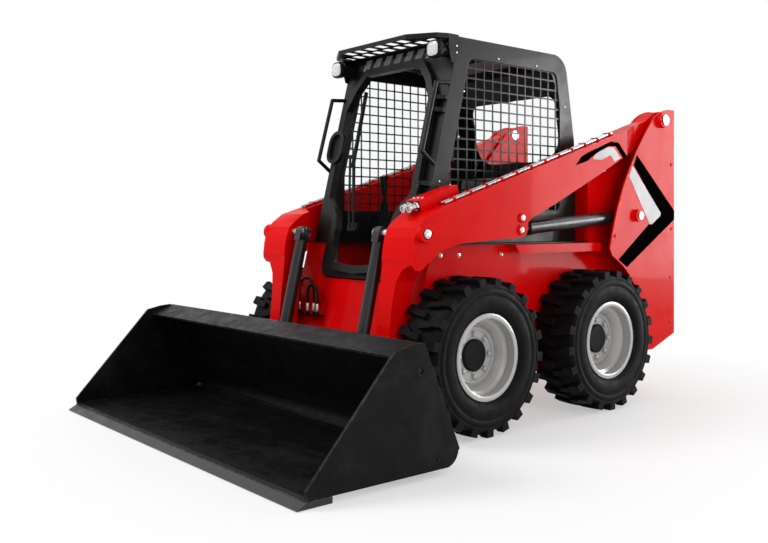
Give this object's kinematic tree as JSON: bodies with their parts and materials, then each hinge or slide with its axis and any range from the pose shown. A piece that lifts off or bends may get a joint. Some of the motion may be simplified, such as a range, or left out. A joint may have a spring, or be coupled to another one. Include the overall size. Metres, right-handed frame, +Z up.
{
  "type": "skid steer loader",
  "caption": "Red skid steer loader with radial lift arms, a wide black bucket, a black cab with mesh side screens, and four lugged tyres on silver rims.",
  "frame": {"origin": "on the ground in the middle of the whole machine's outline", "axes": "+Z up, the bucket points to -Y and the machine's left side is +X"},
  "size_m": [2.23, 3.182, 2.0167],
  "materials": {
    "red_paint": "gloss",
    "black_paint": "satin",
    "dark_steel": "satin",
    "rim_silver": "satin",
    "steel": "satin",
    "rod_chrome": "gloss",
    "tyre_rubber": "matte",
    "hose_rubber": "matte",
    "clear_glass": "gloss",
    "lens": "gloss",
    "black_plastic": "matte",
    "seat_cover": "matte",
    "engine_iron": "matte"
  },
  "bodies": {
    "machine": {"main_frame": "red_paint", "towers": "red_paint", "tower_pins": "steel", "axles": "dark_steel", "engine_block": "engine_iron", "cab_shell": "black_paint", "visor": "black_paint", "grab_loops": "black_paint", "side_screens": "black_paint", "rear_window": "clear_glass", "headlamps": "lens", "seat": "seat_cover", "controls": "black_plastic", "cab_floor": "black_paint", "door_hinges": "black_paint"},
    "wheel_front_left": {"tyre_front_left": "tyre_rubber", "rim_front_left": "rim_silver"},
    "wheel_front_right": {"tyre_front_right": "tyre_rubber", "rim_front_right": "rim_silver"},
    "wheel_rear_left": {"tyre_rear_left": "tyre_rubber", "rim_rear_left": "rim_silver"},
    "wheel_rear_right": {"tyre_rear_right": "tyre_rubber", "rim_rear_right": "rim_silver"},
    "arms": {"arm_left": "red_paint", "arm_right": "red_paint", "leg_left": "red_paint", "leg_right": "red_paint", "cross_tube": "red_paint", "tilt_pins": "steel", "coupler_bracket": "red_paint", "couplers": "steel", "arm_pipes": "steel", "hose_shelf": "black_paint", "hose_outer": "hose_rubber", "hose_inner": "hose_rubber"},
    "lift_barrel_left": {"lift_barrel_left": "black_paint"},
    "lift_rod_left": {"lift_rod_left": "rod_chrome"},
    "lift_barrel_right": {"lift_barrel_right": "black_paint"},
    "lift_rod_right": {"lift_rod_right": "rod_chrome"},
    "tilt_barrel_left": {"tilt_barrel_left": "black_paint"},
    "tilt_rod_left": {"tilt_rod_left": "rod_chrome"},
    "tilt_barrel_right": {"tilt_barrel_right": "black_paint"},
    "tilt_rod_right": {"tilt_rod_right": "rod_chrome"},
    "tool": {"attach_plate": "dark_steel", "hinge_pins": "steel", "bucket": "dark_steel", "cutting_edge": "dark_steel"},
    "front_door": {"door_frame": "black_paint", "door_glass": "clear_glass", "wiper": "black_plastic"},
    "rear_door": {"rear_door": "red_paint"},
    "hood": {"hood": "red_paint"}
  },
  "joints": [
    {"name": "wheel_front_left_spin", "type": "hinge", "parent": "machine", "child": "wheel_front_left", "pos_m": [0.678, -0.259, 0.387], "axis": [1, 0, 0], "continuous": true},
    {"name": "wheel_front_right_spin", "type": "hinge", "parent": "machine", "child": "wheel_front_right", "pos_m": [-0.678, -0.259, 0.387], "axis": [1, 0, 0], "continuous": true},
    {"name": "wheel_rear_left_spin", "type": "hinge", "parent": "machine", "child": "wheel_rear_left", "pos_m": [0.678, 0.721, 0.387], "axis": [1, 0, 0], "continuous": true},
    {"name": "wheel_rear_right_spin", "type": "hinge", "parent": "machine", "child": "wheel_rear_right", "pos_m": [-0.678, 0.721, 0.387], "axis": [1, 0, 0], "continuous": true},
    {"name": "lift", "type": "hinge", "parent": "machine", "child": "arms", "pos_m": [0, 1.406, 1.666], "axis": [-1, 0, 0], "range_deg": [0, 68]},
    {"name": "tilt", "type": "hinge", "parent": "arms", "child": "tool", "pos_m": [0, -0.609, 0.172], "axis": [1, 0, 0], "range_deg": [-27, 108]},
    {"name": "lift_barrel_left_swing", "type": "hinge", "parent": "machine", "child": "lift_barrel_left", "pos_m": [0.594, 1.146, 1.08], "axis": [-1, 0, 0], "range_deg": [0, 66]},
    {"name": "lift_rod_left_slide", "type": "slide", "parent": "lift_barrel_left", "child": "lift_rod_left", "axis": [0, -0.9969, -0.079], "range_m": [0, 0.716]},
    {"name": "lift_barrel_right_swing", "type": "hinge", "parent": "machine", "child": "lift_barrel_right", "pos_m": [-0.594, 1.146, 1.08], "axis": [-1, 0, 0], "range_deg": [0, 66]},
    {"name": "lift_rod_right_slide", "type": "slide", "parent": "lift_barrel_right", "child": "lift_rod_right", "axis": [0, -0.9969, -0.079], "range_m": [0, 0.716]},
    {"name": "tilt_barrel_left_swing", "type": "hinge", "parent": "arms", "child": "tilt_barrel_left", "pos_m": [0.341, -0.559, 0.984], "axis": [1, 0, 0], "range_deg": [-1.5, 5.1]},
    {"name": "tilt_rod_left_slide", "type": "slide", "parent": "tilt_barrel_left", "child": "tilt_rod_left", "axis": [0, -0.2244, -0.9745], "range_m": [-0.0659, 0.2604]},
    {"name": "tilt_barrel_right_swing", "type": "hinge", "parent": "arms", "child": "tilt_barrel_right", "pos_m": [-0.341, -0.559, 0.984], "axis": [1, 0, 0], "range_deg": [-1.5, 5.1]},
    {"name": "tilt_rod_right_slide", "type": "slide", "parent": "tilt_barrel_right", "child": "tilt_rod_right", "axis": [0, -0.2244, -0.9745], "range_m": [-0.0659, 0.2604]},
    {"name": "front_door_swing", "type": "hinge", "parent": "machine", "child": "front_door", "pos_m": [0.4, -0.32118, 1.39], "axis": [0, 0.244, 0.9698], "range_deg": [0, 42]},
    {"name": "rear_door_swing", "type": "hinge", "parent": "machine", "child": "rear_door", "pos_m": [0.519, 1.581, 0.788], "axis": [0, 0, -1], "range_deg": [0, 100]},
    {"name": "hood_lift", "type": "hinge", "parent": "machine", "child": "hood", "pos_m": [0, 0.852, 1.284], "axis": [1, 0, 0], "range_deg": [0, 60]}
  ],
  "couplings": [
    {"joint": "lift_barrel_left_swing", "follows": "lift", "ratio": 0.96621},
    {"joint": "lift_rod_left_slide", "follows": "lift", "m_per_rad": 0.60246},
    {"joint": "lift_barrel_right_swing", "follows": "lift", "ratio": 0.96621},
    {"joint": "lift_rod_right_slide", "follows": "lift", "m_per_rad": 0.60246},
    {"joint": "tilt_barrel_left_swing", "follows": "tilt", "ratio": 0.04469},
    {"joint": "tilt_rod_left_slide", "follows": "tilt", "m_per_rad": 0.13762},
    {"joint": "tilt_barrel_right_swing", "follows": "tilt", "ratio": 0.04469},
    {"joint": "tilt_rod_right_slide", "follows": "tilt", "m_per_rad": 0.13762}
  ]
}
